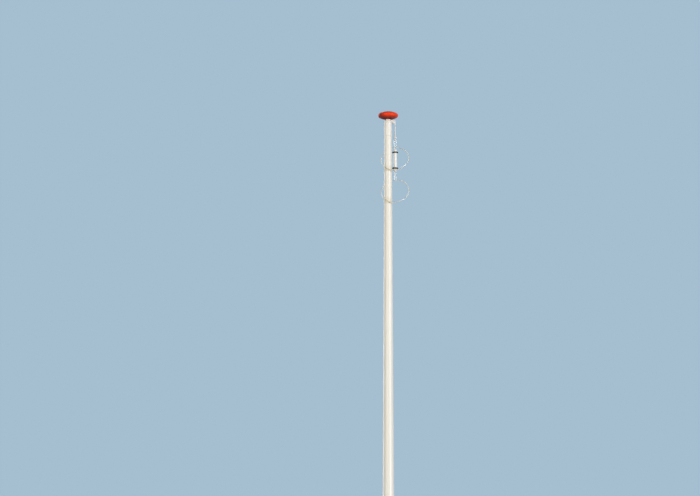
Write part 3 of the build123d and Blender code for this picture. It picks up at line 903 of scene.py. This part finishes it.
white_shell = Finish("white_weight_shell", {"IOR": 1.5, "Coat Roughness": 0.3, "Coat Weight": 0.15})
scratches = white_shell.rise(white_shell.patches(0.0016, 4, (1, 1, 0.1)), 0.56, 0.72)
scuffed = white_shell.rise(white_shell.patches(0.028, 4, (1, 1, 0.6)), 0.48, 0.66)
knocks = scratches * scuffed
film = white_shell.patches(0.03, 4, (1, 1, 0.3))
filmed = white_shell.mix(0.25 * film, white_plastic, grey_film)
white_shell.feed("Base Color", white_shell.mix(0.45 * knocks, filmed, scuffed_grey))
white_shell.feed("Roughness", 0.26 + 0.14 * film + 0.3 * knocks)
white_shell.emboss(1 - knocks, 0.00005)
white_shell.cover("weight_tube", "weight_top_cap", "weight_bottom_cap")
steel.cover("weight_top_eye", "weight_bottom_eye")

# Buffers
# Two moulded rings of black rubber, pushed over the weight, that keep it from knocking on the pole.
# They have a dry, dusty skin.

clean_rubber = (0.008, 0.008, 0.008, 1)
dusty_rubber = (0.040, 0.039, 0.036, 1)

rubber = Finish("black_rubber", {"Specular IOR Level": 0.25})
dust = rubber.patches(0.006, 6)
rubber.feed("Base Color", rubber.mix(0.6 * dust, clean_rubber, dusty_rubber))
rubber.feed("Roughness", 0.48 + 0.35 * dust)
rubber.emboss(rubber.patches(0.0012, 4), 0.0001)
rubber.cover("upper_buffer", "lower_buffer")

# Flag rings
# A 4.8 mm glassfibre rod, bent round the pole and joined in an aluminium ferrule. The rod lets light
# through, so it is pale in the open and brown over the pole, and its glass shows as a whitish bloom.

honey_glass = (0.80, 0.735, 0.57, 1)
bloomed_glass = (0.80, 0.78, 0.71, 1)

glass = Finish("glassfibre_rod", {"IOR": 1.5, "Transmission Weight": 0.55, "Specular IOR Level": 0.5})
fibre_bloom = glass.rise(glass.patches(0.016, 5), 0.42, 0.75)
glass.feed("Base Color", glass.mix(0.6 * fibre_bloom, honey_glass, bloomed_glass))
glass.feed("Roughness", 0.22 + 0.16 * fibre_bloom)
glass.emboss(glass.patches(0.003, 3), 0.00003)
glass.cover("upper_ring", "lower_ring")

bare_aluminium = (0.80, 0.80, 0.79, 1)
dull_oxide = (0.60, 0.60, 0.58, 1)

satin = Finish("satin_aluminium", {"Specular IOR Level": 0.5})
oxide = satin.patches(0.004, 5)
satin.feed("Base Color", satin.mix(oxide, bare_aluminium, dull_oxide))
satin.feed("Metallic", 1 - 0.3 * oxide)
satin.feed("Roughness", 0.28 + 0.24 * oxide)
satin.emboss(oxide, 0.00006)
satin.cover("upper_ferrule", "lower_ferrule")

# Floor, light and camera
# A plain pale ground and the same pale colour behind it. A soft sun stands to the right of the
# camera, as in the photo, and the camera looks up at the pole's upper third from eye height.

backdrop = (0.376, 0.514, 0.631)
fill_strength = 0.32
lamps = {
    "soft_sun": {
        "strength": 1.85, "height": 5, "heading": -88, "spread": 16, "colour": (1.0, 0.99, 0.97),
    },
    "warm_fill": {
        "strength": 1.8, "height": 3, "heading": -160, "spread": 50, "colour": (1.0, 0.91, 0.72),
    },
    "back_fill": {
        "strength": 1.9, "height": 12, "heading": 82, "spread": 60, "colour": (1.0, 1.0, 1.0),
    },
}
ground_radius = 300
ground_tone = 0.6
camera_place = (-28.608, -33.496, 1.6)
camera_look_up = 9.5
camera_heading = 49.9007
camera_sensor = 36
camera_lens = 284.9
camera_far = 1000


def level_share(height, spread):
    """The share of a lamp's light that falls on level ground, less what stands under the horizon."""
    across = np.linspace(-1, 1, 101)
    width = np.sqrt(1 - across ** 2)
    rise = np.sin(np.radians(height + across * spread / 2))
    return np.sum(width * np.maximum(rise, 0)) / np.sum(width)


def seen(nodes):
    """1 on rays that the camera sees, also in gloss or through glass, and 0 on those that only light."""
    share = 0
    for rays in ("Is Camera Ray", "Is Glossy Ray", "Is Transmission Ray"):
        share = share + nodes.node("ShaderNodeLightPath", {}, {}, rays)
    return share


ground_light = np.full(3, fill_strength)
for lamp in lamps.values():
    share = level_share(lamp["height"], lamp["spread"])
    ground_light += np.array(lamp["colour"]) * lamp["strength"] * share / math.pi
ground_glow = np.array(backdrop) - ground_tone * ground_light

ground_paint = Finish("ground_paint", {
    "Base Color": (ground_tone, ground_tone, ground_tone, 1),
    "Roughness": 1,
    "Specular IOR Level": 0,
    "Emission Strength": 1,
})
unlit = (0, 0, 0, 1)
ground_paint.feed("Emission Color", ground_paint.mix(seen(ground_paint), unlit, (*ground_glow, 1)))

bpy.ops.object.select_all(action="DESELECT")
bpy.ops.mesh.primitive_circle_add(vertices=96, radius=ground_radius, fill_type="NGON")
ground = bpy.context.object
ground.name = "ground"
ground.data.materials.append(ground_paint.material)

world = bpy.data.worlds.new("studio")
world.use_nodes = True
bpy.context.scene.world = world
studio = Nodes(world.node_tree)
studio.tree.nodes.remove(studio.tree.nodes["Background"])
fill = studio.node("ShaderNodeBackground", {}, {"Color": (1, 1, 1, 1), "Strength": fill_strength})
shown = studio.node("ShaderNodeBackground", {}, {"Color": (*backdrop, 1)})
either = studio.node("ShaderNodeMixShader", {}, {0: seen(studio), 1: fill, 2: shown})
studio.tree.links.new(either.socket, studio.tree.nodes["World Output"].inputs["Surface"])

for name, lamp in lamps.items():
    light = bpy.data.lights.new(name, "SUN")
    light.energy = lamp["strength"]
    light.color = lamp["colour"]
    light.angle = math.radians(lamp["spread"])
    stand = bpy.data.objects.new(name, light)
    stand.rotation_euler = (math.radians(90 - lamp["height"]), 0, math.radians(lamp["heading"] + 90))
    bpy.context.scene.collection.objects.link(stand)

camera = bpy.data.cameras.new("camera")
camera.sensor_width = camera_sensor
camera.lens = camera_lens
camera.clip_end = camera_far
camera_stand = bpy.data.objects.new("camera", camera)
camera_stand.location = camera_place
camera_stand.rotation_euler = (math.radians(90 + camera_look_up), 0, math.radians(camera_heading - 90))
bpy.context.scene.collection.objects.link(camera_stand)
bpy.context.scene.camera = camera_stand
bpy.context.scene.view_settings.view_transform = "Standard"
